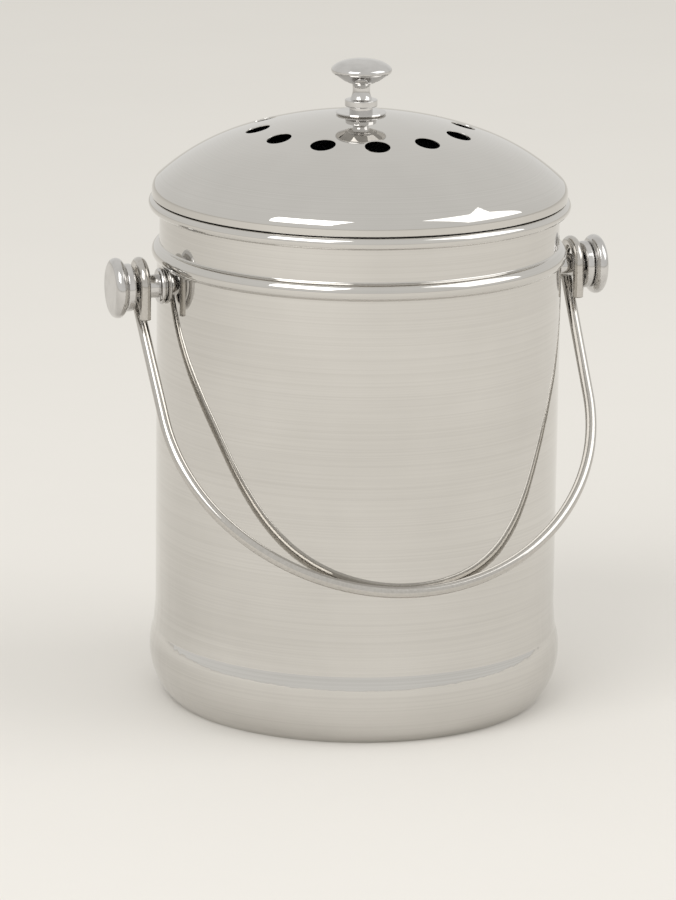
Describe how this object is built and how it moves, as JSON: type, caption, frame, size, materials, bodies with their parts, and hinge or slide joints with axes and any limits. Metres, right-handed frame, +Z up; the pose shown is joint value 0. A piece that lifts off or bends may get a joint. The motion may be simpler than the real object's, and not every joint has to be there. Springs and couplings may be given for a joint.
{
  "type": "compost caddy",
  "caption": "Round steel countertop pail with beaded neck, rolled rim, domed vented lift-off lid with knob and filter, and a wire bail hooked on two ears.",
  "frame": {"origin": "centre of the flat base", "axes": "+Z up, X through the two ears, -Y towards the side that the resting bail leans on"},
  "size_m": [0.2204, 0.1827, 0.2794],
  "materials": {
    "pail_steel": "mirror polished",
    "lid_steel": "mirror polished",
    "bail_steel": "polished",
    "ear_chrome": "bright chrome",
    "knob_chrome": "bright chrome",
    "screw_steel": "satin",
    "seal_rubber": "matt",
    "tray_plastic": "fine grain",
    "carbon_felt": "felt"
  },
  "bodies": {
    "pail": {"pail_body": "pail_steel", "ear_left_flange": "ear_chrome", "ear_left_stem": "ear_chrome", "ear_left_collar": "ear_chrome", "ear_left_cap": "ear_chrome", "ear_left_seal": "seal_rubber", "ear_left_washer": "screw_steel", "ear_left_screw": "screw_steel", "ear_right_flange": "ear_chrome", "ear_right_stem": "ear_chrome", "ear_right_collar": "ear_chrome", "ear_right_cap": "ear_chrome", "ear_right_seal": "seal_rubber", "ear_right_washer": "screw_steel", "ear_right_screw": "screw_steel"},
    "bail": {"bail_wire": "bail_steel"},
    "lid": {"lid_dome": "lid_steel", "lid_skirt": "lid_steel", "knob_grip": "knob_chrome", "knob_plate": "knob_chrome", "knob_washer": "screw_steel", "knob_screw": "screw_steel"},
    "filter": {"filter_tray": "tray_plastic", "filter_pad": "carbon_felt"}
  },
  "joints": [
    {"name": "bail_swing", "type": "hinge", "parent": "pail", "child": "bail", "pos_m": [0, 0, 0.1849], "axis": [-1, 0, 0], "range_deg": [0, 284.8]},
    {"name": "lid_lift", "type": "slide", "parent": "pail", "child": "lid", "axis": [0, 0, 1], "range_m": [0, 0.04]},
    {"name": "filter_drop", "type": "slide", "parent": "lid", "child": "filter", "axis": [0, 0, -1], "range_m": [0, 0.02]}
  ]
}
